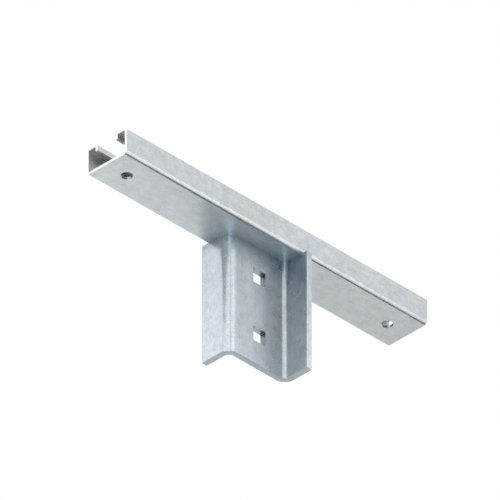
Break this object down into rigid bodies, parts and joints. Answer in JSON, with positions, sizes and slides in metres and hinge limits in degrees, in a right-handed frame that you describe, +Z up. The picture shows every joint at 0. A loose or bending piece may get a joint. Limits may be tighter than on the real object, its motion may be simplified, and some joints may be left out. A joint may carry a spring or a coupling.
{
  "type": "cable tray coupling plate",
  "caption": "Slotted C-rail welded across the top edge of a thick Z-folded plate, with round holes near the rail's ends and square bolt holes in the plate's web.",
  "frame": {"origin": "midway between the rail's two round holes, on the underside of the rail", "axes": "+X along the rail, +Z up out of the rail's slot, -Y the side where the plate's web is open to the right flange's end"},
  "size_m": [0.3, 0.0492, 0.1225],
  "materials": {
    "rail_zinc": "galvanised strip steel, satin",
    "plate_zinc": "hot-dip galvanised plate, soft spangle",
    "weld_zinc": "galvanised weld bead, satin"
  },
  "bodies": {
    "root": {"c_rail": "rail_zinc", "z_plate": "plate_zinc", "web_weld": "weld_zinc", "flange_weld": "weld_zinc"}
  },
  "joints": []
}
